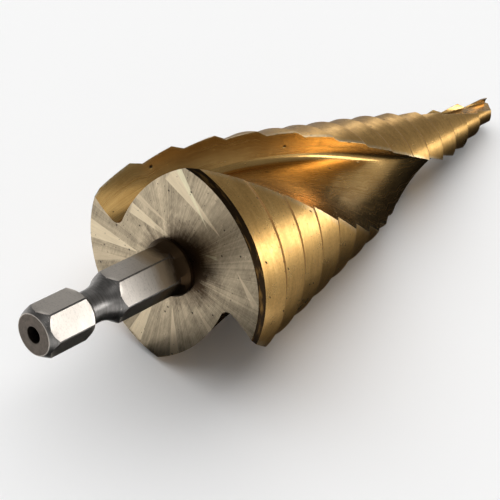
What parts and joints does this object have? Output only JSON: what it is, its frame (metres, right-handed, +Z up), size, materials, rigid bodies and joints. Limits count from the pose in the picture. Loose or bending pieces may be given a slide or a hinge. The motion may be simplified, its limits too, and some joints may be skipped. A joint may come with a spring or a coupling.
{
  "type": "step drill",
  "caption": "Stepped conical drill bit with two spiral flutes and a hexagonal quick-change shank, for opening round holes in sheet metal to graded sizes.",
  "frame": {"origin": "on the resting surface, below the middle of the lying tool's bounding box", "axes": "+X along the tool as seen from above, from the shank to the point; +Z up from the surface that it lies on; the tool's own axis leans 9.7 degrees, point down"},
  "size_m": [0.1018, 0.032, 0.0315],
  "materials": {
    "coated_steel": "gold titanium nitride coating on the steps and flutes, bare ground steel on the rear face and the shank"
  },
  "bodies": {
    "root": {"step_drill": "coated_steel"}
  },
  "joints": []
}
